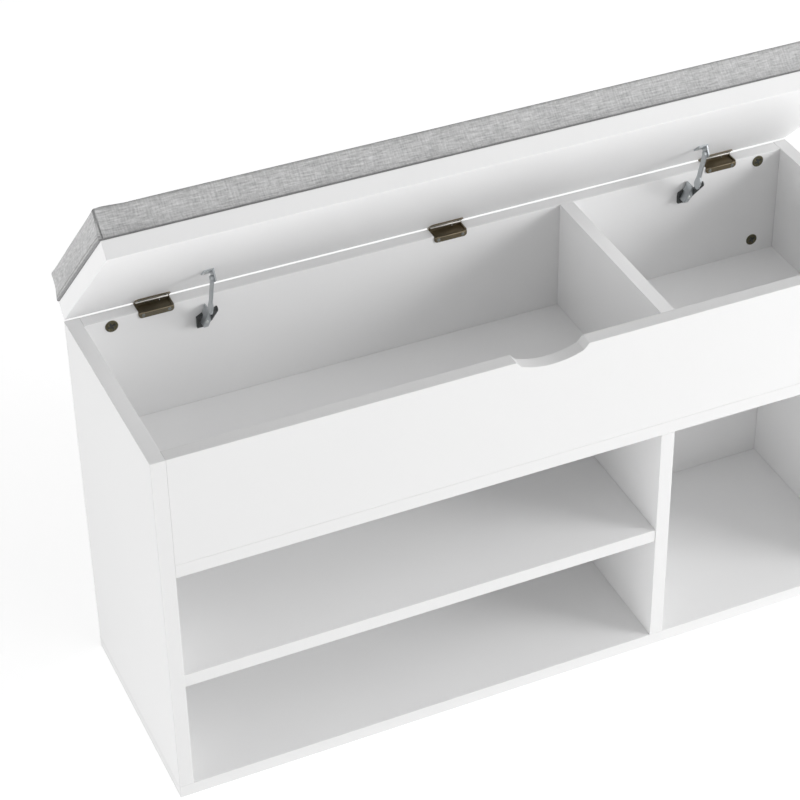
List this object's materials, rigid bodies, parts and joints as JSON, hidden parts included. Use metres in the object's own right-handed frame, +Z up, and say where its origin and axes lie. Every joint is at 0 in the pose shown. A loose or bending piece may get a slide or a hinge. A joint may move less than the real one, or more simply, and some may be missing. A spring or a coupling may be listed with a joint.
{
  "type": "shoe storage bench",
  "caption": "Low white storage bench with open shoe bays under a divided chest, closed by a padded lid on concealed hinges with two folding lid stays.",
  "frame": {"origin": "middle of the bench's footprint, on the floor", "axes": "+X along the bench towards the tall bay, +Y from the open front to the back, +Z up"},
  "size_m": [0.8, 0.2762, 0.6216],
  "materials": {
    "white_board": "white melamine-faced board",
    "cushion_fabric": "light grey melange linen weave over foam",
    "hinge_bronze": "dark antique bronze plating",
    "stay_steel": "satin steel",
    "screw_steel": "zinc-plated steel",
    "foot_plastic": "black moulded plastic",
    "cam_bronze": "dark bronze plating",
    "dowel_wood": "plain beech"
  },
  "bodies": {
    "carcass": {"bottom_board": "white_board", "left_side": "white_board", "right_side": "white_board", "back_panel": "white_board", "chest_floor": "white_board", "partition": "white_board", "shelf": "white_board", "fascia": "white_board", "chest_divider": "white_board", "hinge_1_tray": "hinge_bronze", "hinge_1_pin": "hinge_bronze", "hinge_2_tray": "hinge_bronze", "hinge_2_pin": "hinge_bronze", "hinge_3_tray": "hinge_bronze", "hinge_3_pin": "hinge_bronze", "stay_left_foot": "foot_plastic", "stay_left_cover": "stay_steel", "stay_left_pivot": "stay_steel", "stay_right_foot": "foot_plastic", "stay_right_cover": "stay_steel", "stay_right_pivot": "stay_steel", "hinge_screws": "screw_steel", "stay_screws": "screw_steel", "cam_bolts": "screw_steel", "base_screws": "screw_steel", "cam_fittings": "cam_bronze", "dowels": "dowel_wood"},
    "lid": {"lid_board": "white_board", "cushion": "cushion_fabric", "lid_leaf_screws": "screw_steel", "bracket_screws": "screw_steel", "hinge_1_leaf": "hinge_bronze", "hinge_2_leaf": "hinge_bronze", "hinge_3_leaf": "hinge_bronze", "stay_left_rivet": "stay_steel", "stay_left_bracket": "stay_steel", "stay_right_rivet": "stay_steel", "stay_right_bracket": "stay_steel"},
    "left_lever": {"stay_left_lever": "stay_steel"},
    "right_lever": {"stay_right_lever": "stay_steel"},
    "left_arm": {"stay_left_arm": "stay_steel"},
    "right_arm": {"stay_right_arm": "stay_steel"}
  },
  "joints": [
    {"name": "lid_hinge", "type": "hinge", "parent": "carcass", "child": "lid", "pos_m": [0, 0.1218, 0.4185], "axis": [1, 0, 0], "range_deg": [0, 45]},
    {"name": "left_lever_pivot", "type": "hinge", "parent": "carcass", "child": "left_lever", "pos_m": [-0.2675, 0.0995, 0.395], "axis": [1, 0, 0], "range_deg": [0, 91]},
    {"name": "left_arm_pivot", "type": "hinge", "parent": "lid", "child": "left_arm", "pos_m": [-0.2675, 0.06594, 0.46305], "axis": [1, 0, 0], "range_deg": [-31, 0]},
    {"name": "right_lever_pivot", "type": "hinge", "parent": "carcass", "child": "right_lever", "pos_m": [0.2675, 0.0995, 0.395], "axis": [1, 0, 0], "range_deg": [0, 91]},
    {"name": "right_arm_pivot", "type": "hinge", "parent": "lid", "child": "right_arm", "pos_m": [0.2675, 0.06594, 0.46305], "axis": [1, 0, 0], "range_deg": [-31, 0]}
  ],
  "couplings": [
    {"joint": "left_lever_pivot", "follows": "lid_hinge", "ratio": 2.02},
    {"joint": "left_arm_pivot", "follows": "lid_hinge", "ratio": -0.68},
    {"joint": "right_lever_pivot", "follows": "lid_hinge", "ratio": 2.02},
    {"joint": "right_arm_pivot", "follows": "lid_hinge", "ratio": -0.68}
  ]
}
